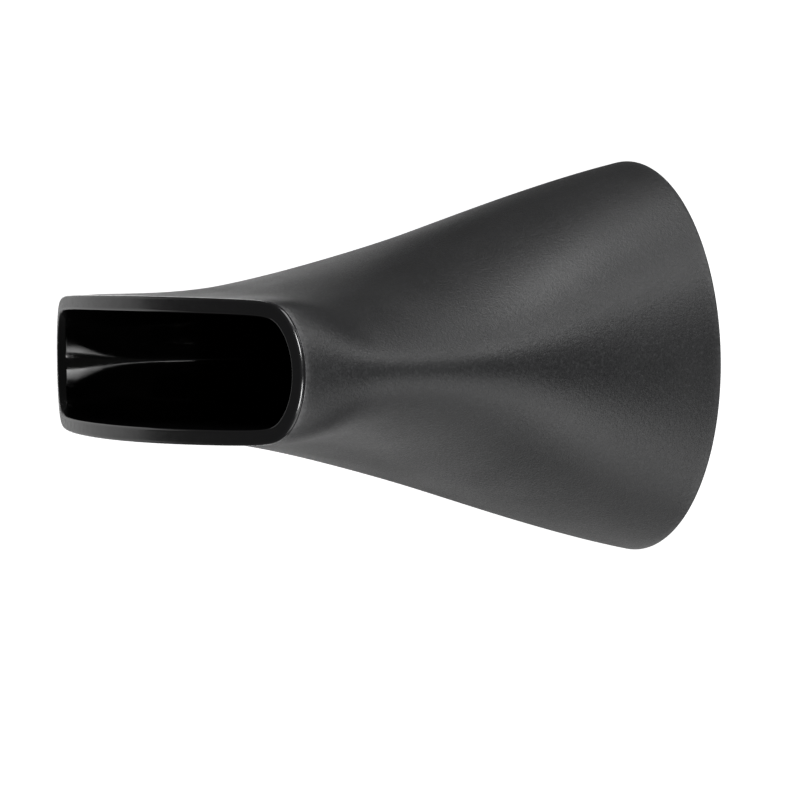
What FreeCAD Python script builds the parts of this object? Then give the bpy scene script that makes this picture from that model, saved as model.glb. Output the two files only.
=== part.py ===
# Styling nozzle of a hair dryer: a two-wall, cool-touch air concentrator.
# Own frame: +Z up along the air's path, rim on z = 0, slot's width along X.
# The matte shell and the gloss duct turn together, as one head, about a seat
# sleeve that stays gripped on the dryer's barrel.
import FreeCAD, Part
import Sketcher
import math
import os

doc = FreeCAD.newDocument("styling_nozzle")
sheet = doc.addObject("Spreadsheet::Sheet", "sizes")

DRIVING_SIZES = {
    # the head's outside
    "nozzle_length": 75.3,      # rim to the middle of the lip
    "slot_width": 84.2,         # outside, at the lip's two ends
    "slot_height": 19.6,        # outside, across the lip
    "lip_sag": 6.5,             # how far the lip's ends lie behind its middle
    "lip_depth": 0.7,           # how far the gloss lip reaches over the shell
    "end_cap_depth": 8.8,       # depth of the lip's rounded ends
    # walls and the space between them
    "shell_wall": 1.1,
    "duct_wall": 0.95,
    "air_gap": 0.5,             # shell to duct, where the duct leaves the seat
    "air_gap_middle": 1.3,      # what the gap gains half way up
    "skirt_step": 0.2,          # ledge where the passage leaves the skirt
    "skirt_lap": 0.4,           # how far the skirt laps the passage's wall
    "fit_gap": 0.05,            # between pieces that locate each other
    # the seat on the dryer's barrel
    "barrel_dia": 41.0,
    "seat_depth": 8.7,          # how far the barrel goes in
    "mouth_recess": 0.8,        # rim down to the sleeve's mouth
    "sleeve_wall": 1.15,
    "stop_height": 1.2,         # the barrel's end stop
    "stop_reach": 1.2,
    "running_gap": 0.07,        # radial, sleeve to what turns round it
    "end_float": 0.15,          # axial, at each face of the sleeve's flange
    "flange_reach": 1.6,        # the sleeve's flange, past its journal
    "flange_height": 1.2,
    "ring_height": 3.2,         # the rim ring
    "washer_height": 0.6,
    "duct_flange_height": 1.4,
    # grips and seal
    "grip_length": 4.8,
    "grip_width": 6.0,
    "grip_thickness": 0.3,
    "grip_bulge": 0.15,         # how far a grip stands into the bore
    "grip_pocket": 0.75,        # depth of its pocket in the sleeve's bore
    "grip_end_gap": 0.1,
    "seal_section": 1.0,
    "seal_bulge": 0.12,
    "seal_height": 1.2,         # mouth to the seal's middle
    # screws and pads
    "screw_dia": 1.7,
    "screw_head_dia": 3.0,
    "screw_head_height": 1.0,
    "screw_length": 6.6,
    "screw_gap": 0.15,          # round the head and the shank
    "boss_wall": 0.9,
    "boss_height": 3.4,
    "pad_dia": 5.0,
    "pad_offset": 13.0,         # pads each side of the middle
    "pad_place": 0.5,           # share of the length, rim to lip
}
GRIP_COUNT = 3
SCREW_COUNT = 2
START_SLOPE = -0.27             # how the thickness grows, at the lip
END_SLOPE = 0.93                # and at the rim, both as shares of the mean
ROUND_START = 0.1               # share of the length where the flats start to fade
ROUND_REACH = 0.5               # and over which they fade
THINNING = 0.35                 # how far the flats draw together at the narrow sides
THIN_START = 0.09               # share of the length where they start to
THIN_REACH = 0.17               # and over which they do
THIN_KEPT = 0.3                 # where they start to part again
THIN_FADE = 0.5                 # and over which they part
FLATNESS = 6.0                  # how square a section's flats meet its caps
STATIONS = 16                   # sections in each lofted form
CROWDING = 0.75                 # below 1, they stand closer towards the lip
SECTION_POINTS = 48
OVERRUN = 0.06                  # share of the length lofted past the lip

for row, (alias, number) in enumerate(DRIVING_SIZES.items(), start=1):
    cell = "A{}".format(row)
    sheet.set(cell, str(number))
    sheet.setAlias(cell, alias)
doc.recompute()


class Size:
    """A number together with the expression that ties it to the sheet."""

    def __init__(self, number, text):
        self.number = float(number)
        self.text = text

    def joined(self, other, sign, number):
        text = other.text if isinstance(other, Size) else repr(float(other))
        return Size(number, "({} {} {})".format(self.text, sign, text))

    def __add__(self, other):
        return self.joined(other, "+", self.number + number_of(other))

    def __sub__(self, other):
        return self.joined(other, "-", self.number - number_of(other))

    def __mul__(self, other):
        return self.joined(other, "*", self.number * number_of(other))

    def __truediv__(self, other):
        return self.joined(other, "/", self.number / number_of(other))


def number_of(value):
    return value.number if isinstance(value, Size) else float(value)


def size(alias):
    return Size(sheet.get(alias), "sizes." + alias)


# Radii of the seat, from the barrel outwards.
barrel_r = size("barrel_dia") / 2
journal_r = barrel_r + size("sleeve_wall")
turning_bore_r = journal_r + size("running_gap")
duct_skirt_r = turning_bore_r + size("duct_wall")
flange_r = journal_r + size("flange_reach")
stop_r = barrel_r - size("stop_reach")

# Heights of the seat, from the rim upwards.
mouth_z = size("mouth_recess")
ring_top_z = mouth_z + size("ring_height")
flange_low_z = ring_top_z + size("end_float")
flange_top_z = flange_low_z + size("flange_height")
washer_low_z = flange_top_z + size("end_float")
washer_top_z = washer_low_z + size("washer_height")
duct_flange_top_z = washer_top_z + size("duct_flange_height")
stop_z = mouth_z + size("seat_depth")
sleeve_top_z = stop_z + size("stop_height")
skirt_top_z = sleeve_top_z + size("end_float")
grip_low_z = stop_z - size("grip_length") - size("grip_end_gap") * 2


def thickness_growth(share):
    """How far the half height has grown, 0 at the lip to 1 at the rim."""
    cubic = (START_SLOPE + END_SLOPE - 2) * share ** 3
    square = (3 - 2 * START_SLOPE - END_SLOPE) * share ** 2
    return cubic + square + START_SLOPE * share


length = number_of(size("nozzle_length"))
lip_half_width = number_of(size("slot_width")) / 2
lip_half_height = number_of(size("slot_height")) / 2
lip_sag = number_of(size("lip_sag"))
shell_wall = number_of(size("shell_wall"))
duct_wall = number_of(size("duct_wall"))
fit_gap = number_of(size("fit_gap"))
lip_wall = shell_wall + fit_gap + duct_wall     # the lip's face covers both walls
cap_depth = number_of(size("end_cap_depth"))

# The rim is as wide as the shell needs to clear the duct's skirt at its top
# and the screws' heads at the rim.
skirt_share = 1 - number_of(skirt_top_z) / length
shell_need = number_of(duct_skirt_r + size("air_gap") + size("shell_wall"))
skirt_need = lip_half_height + (shell_need - lip_half_height) / thickness_growth(skirt_share)
screw_reach = number_of(flange_r + size("screw_dia") / 2 + size("screw_gap"))
head_need = screw_reach + number_of(size("screw_head_dia") / 2 + size("fit_gap")) + shell_wall
rim_radius = max(skirt_need, head_need)

# The sides are straight, and pass through the lip's swept-back ends.
sag_share = lip_sag / length
side_start = (lip_half_width - rim_radius * sag_share) / (1 - sag_share)
lip_radius = (lip_half_width ** 2 + lip_sag ** 2) / (2 * lip_sag)


def smooth_step(value):
    value = min(max(value, 0.0), 1.0)
    return value * value * (3 - 2 * value)


def roundness(share):
    """How far a section has gone from its flat-sided form to an ellipse."""
    return smooth_step((share - ROUND_START) / ROUND_REACH)


def thinning(share):
    """How far the flats draw together towards the narrow sides."""
    drawn = smooth_step((share - THIN_START) / THIN_REACH)
    kept = 1 - smooth_step((share - THIN_KEPT) / THIN_FADE)
    return THINNING * drawn * kept


def outside_section(share):
    """Half width, half height, cap depth and drop of the outside, share 0 = lip."""
    half_width = side_start + (rim_radius - side_start) * share
    half_height = lip_half_height + (rim_radius - lip_half_height) * thickness_growth(share)
    cap = cap_depth + (half_width - cap_depth) * roundness(share)
    return half_width, half_height, cap, half_height * thinning(share)


def shell_cavity_section(share):
    half_width, half_height, cap, drop = outside_section(share)
    return half_width - shell_wall, half_height - shell_wall, cap - shell_wall, drop


def duct_section(share, extra):
    """The duct's inside, or its outside where extra is the wall."""
    along = max(share, 0.0) / skirt_share
    blend = smooth_step(along)
    half_width, half_height, cap, drop = outside_section(share)
    end_width, end_height = outside_section(skirt_share)[:2]
    seat_r = number_of(turning_bore_r - size("skirt_step"))
    width_inset = lip_wall + (end_width - seat_r - lip_wall) * blend
    height_inset = lip_wall + (end_height - seat_r - lip_wall) * blend
    middle = 16 * (along * (1 - along)) ** 2 * number_of(size("air_gap_middle"))
    inside_width = half_width - width_inset
    inside_height = half_height - height_inset - middle
    start_cap = cap_depth - lip_wall
    inside_cap = start_cap + (inside_width - start_cap) * roundness(share)
    return inside_width + extra, inside_height + extra, inside_cap + extra, drop


def section_wire(half_width, half_height, cap, drop, height):
    """A closed oval with flat sides and elliptical ends, level at a height."""
    points = []
    for step in range(SECTION_POINTS):
        angle = 2 * math.pi * step / SECTION_POINTS
        across = math.cos(angle)
        stretch = math.tanh(FLATNESS * across) / math.tanh(FLATNESS)
        x = (half_width - cap) * stretch + cap * across
        y = (half_height - drop * (x / half_width) ** 2) * math.sin(angle)
        points.append(FreeCAD.Vector(x, y, height))
    curve = Part.BSplineCurve()
    curve.interpolate(Points=points, PeriodicFlag=True)
    return Part.Wire([curve.toShape()])


def station_heights(low_z):
    """Heights of a form's sections: every form shares those above its foot."""
    top_z = length * (1 + OVERRUN)
    heights = [top_z * (step / (STATIONS - 1)) ** CROWDING for step in range(STATIONS)]
    least = (heights[-1] - heights[-2]) / 2
    return [low_z] + [height for height in heights if height > low_z + least]


def lofted_form(section, low_z):
    """A solid through sections from a height to a little past the lip."""
    wires = []
    for height in station_heights(low_z):
        share = 1 - height / length
        wires.append(section_wire(*section(share), height))
    return Part.makeLoft(wires, True, False)


def lip_drum(radius):
    """The cylinder, lying along Y, that sweeps the lip's ends back."""
    span = 4 * number_of(size("slot_height"))
    centre = FreeCAD.Vector(0, -span / 2, length - lip_radius)
    return Part.makeCylinder(radius, span, centre, FreeCAD.Vector(0, 1, 0))


def add_feature(name, shape):
    feature = doc.addObject("Part::Feature", name)
    feature.Shape = shape
    return feature


def bind(thing, name, value):
    thing.setExpression(name, value.text)


def origin_item(body, role):
    """One of the body's own origin planes or axes."""
    for feature in body.Origin.OriginFeatures:
        if feature.Role == role:
            return feature
    raise RuntimeError("no origin item " + role)


def add_sketch(body, name, role):
    sketch = body.newObject("Sketcher::SketchObject", name)
    sketch.AttachmentSupport = (origin_item(body, role), [""])
    sketch.MapMode = "FlatFace"
    return sketch


def fix_point(sketch, edge, end, x, y):
    """Hold a point of the sketch at a bound distance from its origin."""
    for kind, value in (("DistanceX", x), ("DistanceY", y)):
        index = sketch.addConstraint(
            Sketcher.Constraint(kind, -1, 1, edge, end, value.number))
        bind(sketch, "Constraints[{}]".format(index), value)


def add_outline(sketch, corners):
    """A closed outline of straight edges through bound corners."""
    count = len(corners)
    places = [FreeCAD.Vector(x.number, y.number, 0) for x, y in corners]
    for index in range(count):
        start = places[index]
        end = places[(index + 1) % count]
        sketch.addGeometry(Part.LineSegment(start, end), False)
    for index in range(count):
        following = (index + 1) % count
        sketch.addConstraint(Sketcher.Constraint("Coincident", index, 2, following, 1))
    for index, (x, y) in enumerate(corners):
        fix_point(sketch, index, 1, x, y)


def turned_body(name, corners):
    """A body turned about Z from an outline of radii and heights."""
    body = doc.addObject("PartDesign::Body", name)
    sketch = add_sketch(body, name + "_profile", "XZ_Plane")
    add_outline(sketch, corners)
    turn = body.newObject("PartDesign::Revolution", name + "_turned")
    turn.Profile = sketch
    turn.ReferenceAxis = (sketch, ["V_Axis"])
    turn.Angle = 360
    doc.recompute()
    return body


def ring_outline(inner, outer, low, high):
    return [(inner, low), (outer, low), (outer, high), (inner, high)]


def make_forms():
    """The four lofted forms that the shell and the duct are cut from."""
    outside = add_feature("outside_form", lofted_form(outside_section, 0.0))
    cavity = add_feature("cavity_form", lofted_form(shell_cavity_section, 0.0))
    skirt_z = number_of(skirt_top_z)
    duct = add_feature(
        "duct_form", lofted_form(lambda share: duct_section(share, duct_wall), skirt_z))
    passage = add_feature(
        "passage_form", lofted_form(lambda share: duct_section(share, 0.0), skirt_z))
    return outside, cavity, duct, passage


def make_outer_shell(outside, cavity):
    """Matte shell: it stops behind the gloss lip."""
    wall = outside.Shape.cut(cavity.Shape)
    reach = lip_radius - number_of(size("lip_depth")) - fit_gap
    return add_feature("outer_shell", wall.common(lip_drum(reach)))


def screw_places():
    """Centres of the screws, on the wide sides of the rim."""
    places = []
    for index in range(SCREW_COUNT):
        angle = 2 * math.pi * index / SCREW_COUNT
        places.append((screw_reach * math.cos(angle), screw_reach * math.sin(angle)))
    return places


def make_inner_duct(outside, cavity, duct, passage):
    """Gloss duct: skirt and flange round the seat, passage, and the lip."""
    drum = lip_drum(lip_radius)
    inner_drum = lip_drum(lip_radius - number_of(size("lip_depth")))
    tube = duct.Shape.common(drum)
    lip = outside.Shape.common(drum).cut(inner_drum)
    skirt = Part.makeCylinder(
        number_of(duct_skirt_r),
        number_of(skirt_top_z + size("skirt_lap") - washer_top_z),
        FreeCAD.Vector(0, 0, number_of(washer_top_z)))
    flange = Part.makeCylinder(
        2 * rim_radius,
        number_of(size("duct_flange_height")),
        FreeCAD.Vector(0, 0, number_of(washer_top_z)))
    room = add_feature("room_form", lofted_form(located_section, 0.0))
    flange = flange.common(room.Shape)
    solid = tube.fuse([lip, skirt, flange])
    boss_r = number_of(size("screw_dia")) / 2 + number_of(size("boss_wall"))
    for x, y in screw_places():
        foot = FreeCAD.Vector(x, y, number_of(washer_top_z))
        boss = Part.makeCylinder(boss_r, number_of(size("boss_height")), foot)
        solid = solid.fuse(boss.common(room.Shape))
    bore = Part.makeCylinder(
        number_of(turning_bore_r),
        number_of(skirt_top_z - washer_top_z),
        FreeCAD.Vector(0, 0, number_of(washer_top_z)))
    solid = solid.cut(passage.Shape).cut(bore)
    for x, y in screw_places():
        foot = FreeCAD.Vector(x, y, number_of(washer_top_z))
        pilot = Part.makeCylinder(
            number_of(size("screw_dia")) / 2, number_of(size("boss_height")), foot)
        solid = solid.cut(pilot)
    return add_feature("inner_duct", solid.removeSplitter())


def located_section(share):
    """The shell's inside, less the gap of a piece that is located by it."""
    half_width, half_height, cap, drop = shell_cavity_section(share)
    return half_width - fit_gap, half_height - fit_gap, cap - fit_gap, drop


def make_rim_ring():
    """Ring that closes the rim and carries the sleeve's journal."""
    room = doc.getObject("room_form")
    low = number_of(mouth_z)
    height = number_of(size("ring_height"))
    blank = Part.makeCylinder(2 * rim_radius, height, FreeCAD.Vector(0, 0, low))
    ring = blank.common(room.Shape)
    bore = Part.makeCylinder(number_of(turning_bore_r), height, FreeCAD.Vector(0, 0, low))
    ring = ring.cut(bore)
    gap = number_of(size("screw_gap"))
    head_r = number_of(size("screw_head_dia")) / 2 + gap
    head_height = number_of(size("screw_head_height")) + gap
    shank_r = number_of(size("screw_dia")) / 2 + gap
    for x, y in screw_places():
        foot = FreeCAD.Vector(x, y, low)
        ring = ring.cut(Part.makeCylinder(head_r, head_height, foot))
        ring = ring.cut(Part.makeCylinder(shank_r, height, foot))
    return add_feature("rim_ring", ring)


def make_seat_sleeve():
    """Sleeve that stays on the barrel: bore, stop, flange, grooves."""
    seal_r = size("seal_section") / 2
    seal_z = mouth_z + size("seal_height")
    groove_r = barrel_r - size("seal_bulge") + size("seal_section")
    corners = [
        (barrel_r, mouth_z),
        (journal_r, mouth_z),
        (journal_r, flange_low_z),
        (flange_r, flange_low_z),
        (flange_r, flange_top_z),
        (journal_r, flange_top_z),
        (journal_r, sleeve_top_z),
        (stop_r, sleeve_top_z),
        (stop_r, stop_z),
        (barrel_r, stop_z),
        (barrel_r, seal_z + seal_r),
        (groove_r, seal_z + seal_r),
        (groove_r, seal_z - seal_r),
        (barrel_r, seal_z - seal_r),
    ]
    body = turned_body("seat_sleeve", corners)
    before = body.Shape.Volume
    pocket_low = grip_low_z - size("grip_end_gap")
    pocket_high = grip_low_z + size("grip_length") + size("grip_end_gap")
    pocket_r = barrel_r + size("grip_pocket")
    half = size("grip_width") / 2 + size("grip_end_gap")
    sketch = add_sketch(body, "grip_pocket_profile", "XZ_Plane")
    add_outline(sketch, ring_outline(stop_r, pocket_r, pocket_low, pocket_high))
    pocket = body.newObject("PartDesign::Pocket", "grip_pocket")
    pocket.Profile = sketch
    pocket.Midplane = True
    bind(pocket, "Length", half * 2)
    doc.recompute()
    pattern = body.newObject("PartDesign::PolarPattern", "grip_pockets")
    pattern.Originals = [pocket]
    pattern.Axis = (origin_item(body, "Z_Axis"), [""])
    pattern.Angle = 360
    pattern.Occurrences = GRIP_COUNT
    body.Tip = pattern
    doc.recompute()
    if body.Shape.Volume >= before:
        raise RuntimeError("the grip pockets cut nothing")
    return body


def make_grip_spring(index):
    """A sprung strip, bowed into the bore, in its pocket of the sleeve."""
    name = "grip_spring_{}".format(index + 1)
    body = doc.addObject("PartDesign::Body", name)
    outer_r = barrel_r + size("grip_pocket") - size("fit_gap")
    inner_r = outer_r - size("grip_thickness")
    crown_r = barrel_r - size("grip_bulge")
    crown_back_r = crown_r + size("grip_thickness")
    foot = size("grip_length") / 6
    bow = size("grip_length") / 3
    low = grip_low_z
    high = grip_low_z + size("grip_length")
    corners = [
        (outer_r, low),
        (outer_r, low + foot),
        (crown_back_r, low + bow),
        (crown_back_r, high - bow),
        (outer_r, high - foot),
        (outer_r, high),
        (inner_r, high),
        (inner_r, high - foot),
        (crown_r, high - bow),
        (crown_r, low + bow),
        (inner_r, low + foot),
        (inner_r, low),
    ]
    sketch = add_sketch(body, name + "_profile", "XZ_Plane")
    add_outline(sketch, corners)
    pad = body.newObject("PartDesign::Pad", name + "_strip")
    pad.Profile = sketch
    pad.Midplane = True
    bind(pad, "Length", size("grip_width"))
    turn = FreeCAD.Rotation(FreeCAD.Vector(0, 0, 1), 360.0 * index / GRIP_COUNT)
    body.Placement = FreeCAD.Placement(FreeCAD.Vector(0, 0, 0), turn)
    doc.recompute()
    return body


def make_seal_ring():
    """Round-section silicone ring in the sleeve's groove."""
    ring = doc.addObject("Part::Torus", "seal_ring")
    bind(ring, "Radius1", barrel_r - size("seal_bulge") + size("seal_section") / 2)
    bind(ring, "Radius2", size("seal_section") / 2)
    bind(ring, "Placement.Base.z", mouth_z + size("seal_height"))
    return ring


def make_slip_washer():
    inner = turning_bore_r
    return turned_body("slip_washer", ring_outline(inner, flange_r, washer_low_z, washer_top_z))


def make_rim_screws():
    """Self-tapping screws, heads down, from the rim ring up into the duct."""
    low = number_of(mouth_z)
    head_height = number_of(size("screw_head_height"))
    head_r = number_of(size("screw_head_dia")) / 2
    shank_r = number_of(size("screw_dia")) / 2
    screws = []
    for x, y in screw_places():
        head = Part.makeCylinder(head_r, head_height, FreeCAD.Vector(x, y, low))
        shank = Part.makeCylinder(
            shank_r, number_of(size("screw_length")), FreeCAD.Vector(x, y, low))
        slot = Part.makeBox(head_r * 1.5, head_r / 4, head_height / 2)
        slot.translate(FreeCAD.Vector(x - head_r * 0.75, y - head_r / 8, low))
        cross = slot.copy()
        cross.rotate(FreeCAD.Vector(x, y, low), FreeCAD.Vector(0, 0, 1), 90)
        screws.append(head.fuse(shank).cut([slot, cross]).removeSplitter())
    return add_feature("rim_screws", Part.makeCompound(screws))


def make_standoff_pads(cavity, duct):
    """Silicone pads that keep the two walls apart, two on each flat side."""
    height = length * number_of(size("pad_place"))
    offset = number_of(size("pad_offset"))
    gap = cavity.Shape.cut(duct.Shape)
    pads = []
    for side in (-1, 1):
        for across in (-1, 1):
            centre = FreeCAD.Vector(across * offset, 0, height)
            rod = Part.makeCylinder(
                number_of(size("pad_dia")) / 2, 2 * rim_radius, centre,
                FreeCAD.Vector(0, side, 0))
            pads.append(rod.common(gap))
    return add_feature("standoff_pads", Part.makeCompound(pads))


outside, cavity, duct, passage = make_forms()
parts = [make_outer_shell(outside, cavity)]
parts.append(make_inner_duct(outside, cavity, duct, passage))
parts.append(make_rim_ring())
parts.append(make_seat_sleeve())
parts.append(make_slip_washer())
parts.append(make_seal_ring())
parts.append(make_rim_screws())
parts.append(make_standoff_pads(cavity, duct))
for index in range(GRIP_COUNT):
    parts.append(make_grip_spring(index))
doc.recompute()

for thing in doc.Objects:
    if "Invalid" in thing.State or "Error" in thing.State:
        raise RuntimeError(thing.Name + " failed to recompute")
for part in parts:
    if part.Shape.isNull() or not part.Shape.isValid():
        raise RuntimeError(part.Name + " has no valid shape")

os.makedirs("parts", exist_ok=True)
for part in parts:
    part.Label = part.Name
    part.Shape.exportStep("parts/{}.step".format(part.Name))
    box = part.Shape.BoundBox
    print(part.Name, len(part.Shape.Solids), round(part.Shape.Volume, 1),
          round(box.XLength, 2), round(box.YLength, 2), round(box.ZMin, 2), round(box.ZMax, 2))
print("rim radius", round(rim_radius, 3), "lip radius", round(lip_radius, 2))
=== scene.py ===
import bpy
import math
from mathutils import Matrix, Vector


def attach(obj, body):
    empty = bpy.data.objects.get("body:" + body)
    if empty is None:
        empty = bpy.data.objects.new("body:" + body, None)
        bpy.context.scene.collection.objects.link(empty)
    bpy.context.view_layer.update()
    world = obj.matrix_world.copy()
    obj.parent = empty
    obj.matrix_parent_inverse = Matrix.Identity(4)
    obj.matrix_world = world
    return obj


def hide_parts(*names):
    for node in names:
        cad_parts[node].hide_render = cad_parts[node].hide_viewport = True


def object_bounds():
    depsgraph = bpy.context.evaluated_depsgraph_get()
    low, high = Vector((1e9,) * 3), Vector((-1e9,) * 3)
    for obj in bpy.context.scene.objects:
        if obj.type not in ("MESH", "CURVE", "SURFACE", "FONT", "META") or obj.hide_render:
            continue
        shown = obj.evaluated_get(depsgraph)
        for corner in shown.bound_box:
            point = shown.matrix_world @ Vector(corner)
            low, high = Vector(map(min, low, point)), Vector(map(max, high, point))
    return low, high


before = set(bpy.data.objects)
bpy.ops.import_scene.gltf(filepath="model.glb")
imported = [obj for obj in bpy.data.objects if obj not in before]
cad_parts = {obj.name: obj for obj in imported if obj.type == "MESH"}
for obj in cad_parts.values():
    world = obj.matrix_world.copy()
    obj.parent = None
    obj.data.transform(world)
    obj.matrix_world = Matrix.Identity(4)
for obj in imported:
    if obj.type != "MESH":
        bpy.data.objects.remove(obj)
cadLow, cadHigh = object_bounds()
print("frame loaded, box", [round(v, 4) for v in (*cadLow, *cadHigh)])

mm = 0.001


class Sock:
    # a socket that can be used in sums
    def __init__(self, shop, link):
        self.shop = shop
        self.link = link

    def maths(self, operation, other):
        return self.shop.add("ShaderNodeMath", {"operation": operation}, {0: self, 1: other})

    def __add__(self, other):
        return self.maths("ADD", other)

    __radd__ = __add__

    def __mul__(self, other):
        return self.maths("MULTIPLY", other)

    __rmul__ = __mul__

    def __sub__(self, other):
        return self.maths("SUBTRACT", other)

    def __rsub__(self, other):
        return self.shop.add("ShaderNodeMath", {"operation": "SUBTRACT"}, {0: other, 1: self})


class Shop:
    # one material and its nodes
    noiseLow, noiseHigh = 0.3, 0.7     # most of a noise lies between these

    def __init__(self, name):
        self.material = bpy.data.materials.new(name)
        self.material.use_nodes = True
        self.tree = self.material.node_tree
        self.shader = self.tree.nodes["Principled BSDF"]

    def add(self, kind, settings=None, sources=None, out=0):
        node = self.tree.nodes.new(kind)
        for key, value in (settings or {}).items():
            setattr(node, key, value)
        for key, value in (sources or {}).items():
            self.feed(node.inputs[key], value)
        return Sock(self, node.outputs[out])

    def feed(self, socket, value):
        if isinstance(value, Sock):
            self.tree.links.new(value.link, socket)
        else:
            socket.default_value = value

    def set(self, **values):
        for key, value in values.items():
            self.feed(self.shader.inputs[key.replace("_", " ")], value)

    def place(self):
        return self.add("ShaderNodeTexCoord", out="Object")

    def noise(self, scale, detail, rough=0.5, place=None):
        sources = {"Vector": place or self.place(), "Scale": scale, "Detail": detail, "Roughness": rough}
        return self.add("ShaderNodeTexNoise", {}, sources, out="Fac")

    def ramp(self, source, low, high, start=0.0, end=1.0):
        settings = {"clamp": True, "interpolation_type": "SMOOTHSTEP"}
        sources = {"Value": source, "From Min": low, "From Max": high, "To Min": start, "To Max": end}
        return self.add("ShaderNodeMapRange", settings, sources)

    def fromNoise(self, source, start, end):
        return self.ramp(source, self.noiseLow, self.noiseHigh, start, end)

    def mixColour(self, factor, first, second):
        return self.add(
            "ShaderNodeMix", {"data_type": "RGBA"}, {"Factor": factor, 6: first, 7: second}, out=2)

    def bump(self, height, strength, distance):
        sources = {"Height": height, "Strength": strength, "Distance": distance}
        self.set(Normal=self.add("ShaderNodeBump", {}, sources, out="Normal"))


def blend(first, second, share):
    # that share of the first, and the rest of the second
    return first * share + second * (1 - share)


headForm = {
    "slotHeight": 19.6 * mm,
    "lipSag": 6.5 * mm,
    "lipWall": 2.1 * mm,
    "lipDepth": 0.7 * mm,
    "endCapDepth": 8.8 * mm,
    "startSlope": -0.27,     # growth of the thickness at the lip
    "endSlope": 0.93,        # and at the rim
    "roundStart": 0.1,       # share of the length where the flats start to fade
    "roundReach": 0.5,       # and over which they fade
    "thinning": 0.35,        # how far the flats draw together towards the narrow sides
    "thinStart": 0.09,       # share of the length where they start to
    "thinReach": 0.17,       # and over which they do
    "thinKept": 0.3,         # where they start to part again
    "thinFade": 0.5,         # and over which they part
    "flatness": 6.0,
    "columns": 288,
    "crowding": 0.6,         # how much closer the columns stand on the flats
    "settleTurns": 6,        # turns of the search for a point behind the curved lip
    "sharpAngle": 50,        # degrees; sharper corners than this aren't shaded smooth
}
length = cadHigh.z
slotHalf = cadHigh.x
rimRadius = cadHigh.y
lipRadius = (slotHalf ** 2 + headForm["lipSag"] ** 2) / (2 * headForm["lipSag"])


def smoothStep(value):
    value = min(max(value, 0.0), 1.0)
    return value * value * (3 - 2 * value)


def thicknessGrowth(share):
    # a cubic from 0 at the lip to 1 at the rim, with the named slopes at its ends
    start, end = headForm["startSlope"], headForm["endSlope"]
    return (start + end - 2) * share ** 3 + (3 - 2 * start - end) * share ** 2 + start * share


def roundness(share):
    # how far a section has gone from its flat-sided form to an ellipse
    return smoothStep((share - headForm["roundStart"]) / headForm["roundReach"])


def thinning(share):
    # how far the flats draw together towards the narrow sides
    drawn = smoothStep((share - headForm["thinStart"]) / headForm["thinReach"])
    kept = 1 - smoothStep((share - headForm["thinKept"]) / headForm["thinFade"])
    return headForm["thinning"] * drawn * kept


def outsideSection(share, inset=0.0):
    # half width, half height, cap depth and drop; share runs from 0 at the lip to 1 at the rim
    sagShare = headForm["lipSag"] / length
    sideStart = (slotHalf - rimRadius * sagShare) / (1 - sagShare)
    lipHalf = headForm["slotHeight"] / 2
    halfWidth = sideStart + (rimRadius - sideStart) * share
    halfHeight = lipHalf + (rimRadius - lipHalf) * thicknessGrowth(share)
    capDepth = headForm["endCapDepth"]
    cap = capDepth + (halfWidth - capDepth) * roundness(share)
    return halfWidth - inset, halfHeight - inset, cap - inset, halfHeight * thinning(share)


def sectionPoint(section, angle):
    halfWidth, halfHeight, cap, drop = section
    across = math.cos(angle)
    stretch = math.tanh(headForm["flatness"] * across) / math.tanh(headForm["flatness"])
    x = (halfWidth - cap) * stretch + cap * across
    return x, (halfHeight - drop * (x / halfWidth) ** 2) * math.sin(angle)


def columnAngles():
    angles = []
    for step in range(headForm["columns"]):
        even = 2 * math.pi * step / headForm["columns"]
        angles.append(even + headForm["crowding"] * math.sin(2 * even) / 2)
    return angles


def lipHeight(x, setBack):
    # height of the curved lip, or of a surface set back from it
    radius = lipRadius - setBack
    return length - lipRadius + math.sqrt(radius * radius - x * x)


def pointAtHeight(sectionAt, angle, height):
    x, y = sectionPoint(sectionAt(1 - height / length), angle)
    return Vector((x, y, height))


def pointBelowLip(sectionAt, angle, setBack):
    # the point of that column which lies a set-back behind the lip
    height = length
    for _ in range(headForm["settleTurns"]):
        x, y = sectionPoint(sectionAt(1 - height / length), angle)
        height = lipHeight(x, setBack)
    return Vector((x, y, height))


class SkinRows:
    # rings of points on the same columns, laid one after another to make a closed skin
    def __init__(self):
        self.angles = columnAngles()
        self.rows = []

    def add(self, pointAt):
        self.rows.append([pointAt(angle) for angle in self.angles])

    def ring(self, radius, height):
        self.add(lambda angle: Vector((radius * math.cos(angle), radius * math.sin(angle), height)))

    def atHeight(self, sectionAt, height):
        self.add(lambda angle: pointAtHeight(sectionAt, angle, height))

    def belowLip(self, sectionAt, setBack):
        self.add(lambda angle: pointBelowLip(sectionAt, angle, setBack))

    def wall(self, sectionAt, low, topBack, parts):
        # each part is a share of the way from the low height to that set-back behind the lip
        tops = [pointBelowLip(sectionAt, angle, topBack).z for angle in self.angles]
        for part in parts:
            self.rows.append([
                pointAtHeight(sectionAt, angle, low + (top - low) * part)
                for angle, top in zip(self.angles, tops)])


def loopMesh(name, rows):
    # each row is one ring of points, and the last row meets the first
    columns = len(rows[0])
    points = [point for row in rows for point in row]
    faces = []
    for row in range(len(rows)):
        following = (row + 1) % len(rows)
        for column in range(columns):
            beside = (column + 1) % columns
            faces.append((
                row * columns + column, row * columns + beside,
                following * columns + beside, following * columns + column))
    mesh = bpy.data.meshes.new(name)
    mesh.from_pydata(points, [], faces)
    mesh.validate()
    mesh.shade_smooth()
    mesh.set_sharp_from_angle(angle=math.radians(headForm["sharpAngle"]))
    piece = bpy.data.objects.new(name, mesh)
    bpy.context.scene.collection.objects.link(piece)
    return piece


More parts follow.
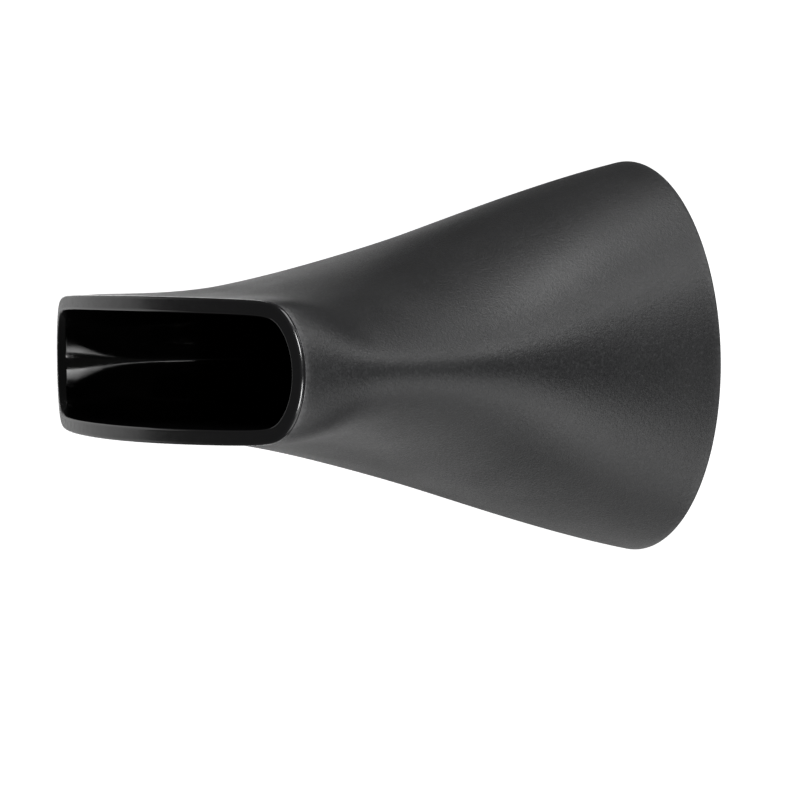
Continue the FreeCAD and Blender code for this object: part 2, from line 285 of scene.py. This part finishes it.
def markEdges(mesh, distanceTo, reach):
    # 1 at an edge that hands and cases rub, fading over its reach
    wear = mesh.attributes.new("edgeWear", "FLOAT", "POINT")
    wear.data.foreach_set(
        "value", [math.exp(-max(distanceTo(vertex.co), 0.0) / reach) for vertex in mesh.vertices])


def quarter(count):
    # the sine, and 1 minus the cosine, at even steps along a quarter turn
    for step in range(count + 1):
        turn = math.pi / 2 * step / count
        yield math.sin(turn), 1 - math.cos(turn)


shellForm = {
    "wall": 1.1 * mm,
    "seam": 0.02 * mm,
    "seamRound": 0.05 * mm,
    "seamSteps": 3,
    "rimRound": 0.35 * mm,
    "rimSteps": 6,
    "innerBreak": ((1.0, 0.0), (0.4, 0.2), (0.0, 0.7)),   # up and inwards, as shares of rimRound
    "wallRows": 90,
    "wearReach": 0.5 * mm,
}


def outsideAt(inset):
    return lambda share: outsideSection(share, inset)


def makeOuterShell():
    seamBack = headForm["lipDepth"] + shellForm["seam"]
    seamRound = shellForm["seamRound"]
    rimRound = shellForm["rimRound"]
    wall = shellForm["wall"]
    parts = [step / shellForm["wallRows"] for step in range(1, shellForm["wallRows"])]
    skin = SkinRows()
    for sine, rest in quarter(shellForm["rimSteps"]):
        skin.atHeight(outsideAt(rimRound * (1 - sine)), rest * rimRound)
    skin.wall(outsideAt(0.0), rimRound, seamBack + seamRound, parts)
    for sine, rest in quarter(shellForm["seamSteps"]):
        skin.belowLip(outsideAt(seamRound * rest), seamBack + seamRound * (1 - sine))
    skin.belowLip(outsideAt(wall), seamBack)
    skin.wall(outsideAt(wall), 0.0, seamBack, reversed(parts))
    for upwards, inwards in shellForm["innerBreak"]:
        skin.atHeight(outsideAt(wall - rimRound * inwards), rimRound * upwards)
    piece = loopMesh("shell_skin", skin.rows)
    markEdges(
        piece.data, lambda point: min(point.z, lipHeight(point.x, seamBack) - point.z),
        shellForm["wearReach"])
    return piece


ductForm = {
    "wall": 0.95 * mm,
    "outerRound": 0.5 * mm,
    "innerRound": 0.4 * mm,
    "roundSteps": 8,
    "faceSteps": 10,
    "footChamfer": 0.04 * mm,
    "gapMiddle": 1.3 * mm,       # how much the air gap widens halfway down
    "passageFoot": 21.52 * mm,   # the passage's radius where its skirt starts
    "skirtTop": 10.85 * mm,
    "skirtRadius": 22.67 * mm,
    "skirtLap": 0.4 * mm,
    "boreRadius": 21.72 * mm,    # the bore that the head turns on
    "flangeLow": 6.1 * mm,
    "flangeTop": 7.5 * mm,
    "flangeInset": 1.15 * mm,    # the shell's wall and the gap inside it
    "wallRows": 110,
    "rowSpread": 0.8,            # below 1, the rows stand further apart low down
}


def ductSection(share, extra):
    # the passage's section, or the outside of its wall where extra is the wall
    skirtShare = 1 - ductForm["skirtTop"] / length
    along = min(max(share, 0.0) / skirtShare, 1.0)
    lipWall = headForm["lipWall"]
    halfWidth, halfHeight, cap, drop = outsideSection(share)
    endWidth, endHeight = outsideSection(skirtShare)[:2]
    eased = smoothStep(along)
    widthInset = lipWall + (endWidth - ductForm["passageFoot"] - lipWall) * eased
    heightInset = lipWall + (endHeight - ductForm["passageFoot"] - lipWall) * eased
    swell = (4 * along * (1 - along)) ** 2     # 1 halfway down, and 0 at both ends
    heightInset += swell * ductForm["gapMiddle"]
    insideWidth = halfWidth - widthInset
    startCap = headForm["endCapDepth"] - lipWall
    insideCap = startCap + (insideWidth - startCap) * roundness(share)
    return insideWidth + extra, halfHeight - heightInset + extra, insideCap + extra, drop


def ductAt(extra):
    return lambda share: ductSection(share, extra)


def makeInnerDuct():
    depth = headForm["lipDepth"]
    wall = headForm["lipWall"]
    outerRound = ductForm["outerRound"]
    innerRound = ductForm["innerRound"]
    chamfer = ductForm["footChamfer"]
    skirtTop = ductForm["skirtTop"]
    lapTop = skirtTop + ductForm["skirtLap"]
    count = ductForm["wallRows"]
    parts = [(step / count) ** ductForm["rowSpread"] for step in range(count)]
    skin = SkinRows()
    skin.belowLip(outsideAt(chamfer), depth)
    skin.belowLip(outsideAt(0.0), depth - chamfer)
    for sine, rest in quarter(ductForm["roundSteps"]):
        skin.belowLip(outsideAt(outerRound * rest), outerRound * (1 - sine))
    faceWidth = wall - outerRound - innerRound
    for step in range(1, ductForm["faceSteps"]):
        skin.belowLip(outsideAt(outerRound + faceWidth * (step / ductForm["faceSteps"])), 0.0)
    lipRows = len(skin.rows)
    for sine, rest in quarter(ductForm["roundSteps"]):
        skin.belowLip(outsideAt(wall - innerRound * (1 - sine)), innerRound * rest)
    skin.wall(ductAt(0.0), skirtTop, innerRound, reversed(parts))
    skin.ring(ductForm["boreRadius"], skirtTop)
    skin.ring(ductForm["boreRadius"], ductForm["flangeLow"])
    skin.atHeight(outsideAt(ductForm["flangeInset"]), ductForm["flangeLow"])
    skin.atHeight(outsideAt(ductForm["flangeInset"]), ductForm["flangeTop"])
    skin.ring(ductForm["skirtRadius"], ductForm["flangeTop"])
    skin.ring(ductForm["skirtRadius"], lapTop)
    skin.wall(ductAt(ductForm["wall"]), lapTop, depth, parts)
    skin.belowLip(outsideAt(wall - ductForm["wall"]), depth)
    return loopMesh("duct_skin", skin.rows), lipRows


shellLook = {
    "black": (0.0030, 0.0031, 0.0034, 1),
    "grey": (0.0095, 0.0097, 0.0102, 1),
    "rubbed": (0.032, 0.032, 0.033, 1),
    "grain": {"scale": 3600, "detail": 3, "rough": 0.65},
    "speck": {"scale": 1900, "detail": 2, "rough": 0.6},
    "cloud": {"scale": 55, "detail": 3},
    "wearSpeck": 0.5,        # the speck's share in where the wear shows; the cloud has the rest
    "wearFrom": 0.35,
    "wearTo": 0.6,
    "wearPolish": 0.12,
    "brightFrom": 0.48,
    "brightTo": 0.72,
    "brightShare": 0.7,      # the specks' share in the colour; the cloud has the rest
    "grainRough": 0.6,       # the grain's share in the roughness; the cloud has the rest
    "grainBump": 0.6,        # the grain's share in the relief; the speck has the rest
    "roughLow": 0.36,
    "roughHigh": 0.52,
    "bump": 0.75,
    "bumpDepth": 0.1 * mm,
}


def matteShellFinish(look):
    # spark-eroded black plastic: fine grain, faint sheen, rubbed edges a little smoother and paler
    shop = Shop("matteShell")
    grain = shop.noise(**look["grain"])
    speck = shop.noise(**look["speck"])
    cloud = shop.noise(**look["cloud"])
    patches = shop.ramp(blend(speck, cloud, look["wearSpeck"]), look["wearFrom"], look["wearTo"])
    worn = shop.add("ShaderNodeAttribute", {"attribute_name": "edgeWear"}, out="Fac") * patches
    bright = shop.ramp(speck, look["brightFrom"], look["brightTo"])
    colour = shop.mixColour(blend(bright, cloud, look["brightShare"]), look["black"], look["grey"])
    rough = shop.fromNoise(
        blend(grain, cloud, look["grainRough"]), look["roughLow"], look["roughHigh"])
    shop.set(
        Base_Color=shop.mixColour(worn, colour, look["rubbed"]),
        Roughness=rough - worn * look["wearPolish"])
    shop.bump(blend(grain, speck, look["grainBump"]), look["bump"], look["bumpDepth"])
    return shop.material


ductLook = {
    "black": (0.0035, 0.0035, 0.0038, 1),
    "waves": {"scale": 160, "detail": 1},
    "haze": {"scale": 700, "detail": 3},
    "roughLow": 0.07,
    "roughHigh": 0.12,
    "bump": 0.1,
    "bumpDepth": 0.02 * mm,
}
# the lip's face is polished less than the passage
lipLook = {
    "black": (0.004, 0.004, 0.0043, 1),
    "waves": {"scale": 240, "detail": 2},
    "haze": {"scale": 900, "detail": 4},
    "roughLow": 0.16,
    "roughHigh": 0.24,
    "bump": 0.1,
    "bumpDepth": 0.02 * mm,
}


def polishedFinish(name, look):
    # polished black plastic with the faint waves of its mould
    shop = Shop(name)
    haze = shop.noise(**look["haze"])
    shop.set(
        Base_Color=look["black"],
        Roughness=shop.fromNoise(haze, look["roughLow"], look["roughHigh"]))
    shop.bump(shop.noise(**look["waves"]), look["bump"], look["bumpDepth"])
    return shop.material


mouldedLook = {
    "mottle": {"scale": 400, "detail": 3},
    "grainDetail": 3,
    "paler": 1.35,           # the mottle's paler colour, as a multiple of the darker
    "roughBelow": 0.06,
    "roughAbove": 0.08,
    "bump": 0.2,
}


def mouldedFinish(name, colour, rough, grain, depth):
    # moulded inner parts: even colour with a little mottle and grain
    shop = Shop(name)
    fine = shop.noise(grain, mouldedLook["grainDetail"])
    paler = tuple(min(1, part * mouldedLook["paler"]) for part in colour[:3]) + (1,)
    shop.set(
        Base_Color=shop.mixColour(shop.noise(**mouldedLook["mottle"]), colour, paler),
        Roughness=shop.fromNoise(
            fine, rough - mouldedLook["roughBelow"], rough + mouldedLook["roughAbove"]))
    shop.bump(fine, mouldedLook["bump"], depth)
    return shop.material


springLook = {
    "colour": (0.56, 0.55, 0.52, 1),
    "lines": (9000, 9000, 300),
    "lineDetail": 3,
    "roughLow": 0.22,
    "roughHigh": 0.4,
    "bump": 0.15,
    "bumpDepth": 0.01 * mm,
}


def springSteel(look):
    # rolled strip: fine lines along its length
    shop = Shop("springSteel")
    drawn = shop.add("ShaderNodeMapping", {}, {"Vector": shop.place(), "Scale": look["lines"]})
    lines = shop.noise(1.0, look["lineDetail"], place=drawn)
    shop.set(
        Base_Color=look["colour"], Metallic=1.0,
        Roughness=shop.fromNoise(lines, look["roughLow"], look["roughHigh"]))
    shop.bump(lines, look["bump"], look["bumpDepth"])
    return shop.material


screwLook = {
    "dark": (0.45, 0.45, 0.46, 1),
    "light": (0.6, 0.59, 0.56, 1),
    "spots": {"scale": 2500, "detail": 4},
    "roughLow": 0.25,
    "roughHigh": 0.45,
    "bump": 0.1,
    "bumpDepth": 0.01 * mm,
}


def screwSteel(look):
    shop = Shop("screwSteel")
    spots = shop.noise(**look["spots"])
    shop.set(
        Base_Color=shop.mixColour(spots, look["dark"], look["light"]), Metallic=1.0,
        Roughness=shop.fromNoise(spots, look["roughLow"], look["roughHigh"]))
    shop.bump(spots, look["bump"], look["bumpDepth"])
    return shop.material


def paint(piece, *materials):
    piece.data.materials.clear()
    for material in materials:
        piece.data.materials.append(material)


shell = makeOuterShell()
paint(shell, matteShellFinish(shellLook))
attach(shell, "head")
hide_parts("outer_shell")
print("shell skin done", len(shell.data.vertices))

duct, lipRows = makeInnerDuct()
paint(duct, polishedFinish("glossDuct", ductLook), polishedFinish("lipSatin", lipLook))
for polygon in duct.data.polygons:
    if polygon.index // headForm["columns"] < lipRows:
        polygon.material_index = 1
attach(duct, "head")
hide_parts("inner_duct")
print("duct skin done", len(duct.data.vertices))

gripCount = 3
innerPlastics = {
    # material, colour, roughness, grain's scale and grain's depth
    "rim_ring": ("matteRing", (0.012, 0.012, 0.013, 1), 0.45, 3500, 0.03 * mm),
    "seat_sleeve": ("seatPlastic", (0.03, 0.03, 0.033, 1), 0.4, 3000, 0.03 * mm),
    "slip_washer": ("washerPlastic", (0.6, 0.58, 0.52, 1), 0.35, 1500, 0.01 * mm),
    "seal_ring": ("sealSilicone", (0.06, 0.06, 0.065, 1), 0.5, 2500, 0.02 * mm),
    "standoff_pads": ("padSilicone", (0.05, 0.05, 0.052, 1), 0.55, 2500, 0.02 * mm),
}
innerFinishes = {name: mouldedFinish(*look) for name, look in innerPlastics.items()}
innerFinishes["rim_screws"] = screwSteel(screwLook)
for index in range(gripCount):
    innerFinishes["grip_spring_{}".format(index + 1)] = springSteel(springLook)
for nodeName, finish in innerFinishes.items():
    paint(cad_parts[nodeName], finish)
print("inner pieces painted")


studio = {
    "floorSize": 6.0,
    "floorColour": (0.5, 0.5, 0.5, 1),
    "floorRough": 0.9,
    "white": (1, 1, 1, 1),
    "floorGlow": 0.94,
    "worldStrength": 0.09,
    "distance": 0.6,
}
softCards = {
    # azimuth, elevation, width and height in degrees, brightness
    "leftCard": (170, -8, 36, 32, 5.2),
    "lowLeftCard": (146, -42, 24, 14, 5.6),
    "rightCard": (26, -24, 50, 42, 2.0),
    "frontCard": (-44, -24, 44, 24, 0.7),
    "backLowCard": (268, -16, 30, 14, 1.9),
    "backHighCard": (270, 12, 50, 36, 0.4),
    "mouthLeftCard": (122, 9, 26, 13, 34.0),
    "mouthRightCard": (63, 9, 30, 13, 34.0),
}


def makeFloor():
    half = studio["floorSize"] / 2
    mesh = bpy.data.meshes.new("floor")
    mesh.from_pydata(
        [(-half, -half, 0), (half, -half, 0), (half, half, 0), (-half, half, 0)], [], [(0, 1, 2, 3)])
    floor = bpy.data.objects.new("floor", mesh)
    bpy.context.scene.collection.objects.link(floor)
    shop = Shop("paleFloor")
    shop.set(
        Base_Color=studio["floorColour"], Roughness=studio["floorRough"],
        Emission_Color=studio["white"], Emission_Strength=studio["floorGlow"])
    shop.material.cycles.emission_sampling = "NONE"
    paint(floor, shop.material)
    # the soft cards stand partly below the floor's level, so it is kept out of reflections
    floor.visible_glossy = False
    floor.visible_diffuse = False
    floor.visible_shadow = False


def makeWorld():
    world = bpy.data.worlds.new("studio")
    world.use_nodes = True
    background = world.node_tree.nodes["Background"]
    background.inputs["Color"].default_value = studio["white"]
    background.inputs["Strength"].default_value = studio["worldStrength"]
    bpy.context.scene.world = world


def directionTo(azimuth, elevation):
    # azimuth 0 is towards -Y, and 90 towards +X
    turn, rise = math.radians(azimuth), math.radians(elevation)
    return Vector((
        math.sin(turn) * math.cos(rise), -math.cos(turn) * math.cos(rise), math.sin(rise)))


def addSoftCard(name, azimuth, elevation, width, height, brightness):
    distance = studio["distance"]
    data = bpy.data.lights.new(name, "AREA")
    data.shape = "RECTANGLE"
    data.size = 2 * distance * math.tan(math.radians(width) / 2)
    data.size_y = 2 * distance * math.tan(math.radians(height) / 2)
    data.energy = brightness * math.pi * data.size * data.size_y
    card = bpy.data.objects.new(name, data)
    outward = directionTo(azimuth, elevation)
    card.location = outward * distance + Vector((0, 0, length / 2))
    card.rotation_euler = outward.to_track_quat("Z", "Y").to_euler()
    card.visible_camera = False
    bpy.context.scene.collection.objects.link(card)


makeFloor()
makeWorld()
for name, card in softCards.items():
    addSoftCard(name, *card)
print("floor and soft cards done")

cameraForm = {
    "azimuth": 92.12,
    "elevation": 25.0,
    "lean": -1.69,
    "distance": 0.839,
    "lens": 270.3,
    "slideAlong": 31.6 * mm,
    "slideUp": 6.19 * mm,
    "sensorWidth": 36,
    "clipStart": 0.01,
    "clipEnd": 20,
}


def makeCamera():
    back = directionTo(cameraForm["azimuth"], cameraForm["elevation"])
    level = Vector((0, 0, 1)).cross(back).normalized()
    upward = back.cross(level)
    # the picture is turned a quarter, so the nozzle points left
    lean = math.radians(cameraForm["lean"])
    right = -upward * math.cos(lean) + level * math.sin(lean)
    up = upward * math.sin(lean) + level * math.cos(lean)
    place = back * cameraForm["distance"]
    place -= right * cameraForm["slideAlong"] + up * cameraForm["slideUp"]
    data = bpy.data.cameras.new("camera")
    data.lens = cameraForm["lens"]
    data.sensor_width = cameraForm["sensorWidth"]
    data.clip_start = cameraForm["clipStart"]
    data.clip_end = cameraForm["clipEnd"]
    camera = bpy.data.objects.new("camera", data)
    turn = Matrix((right, up, back)).transposed()
    camera.matrix_world = Matrix.Translation(place) @ turn.to_4x4()
    bpy.context.scene.collection.objects.link(camera)
    bpy.context.scene.camera = camera


makeCamera()
bpy.context.scene.view_settings.view_transform = "Standard"
print("studio and camera done")
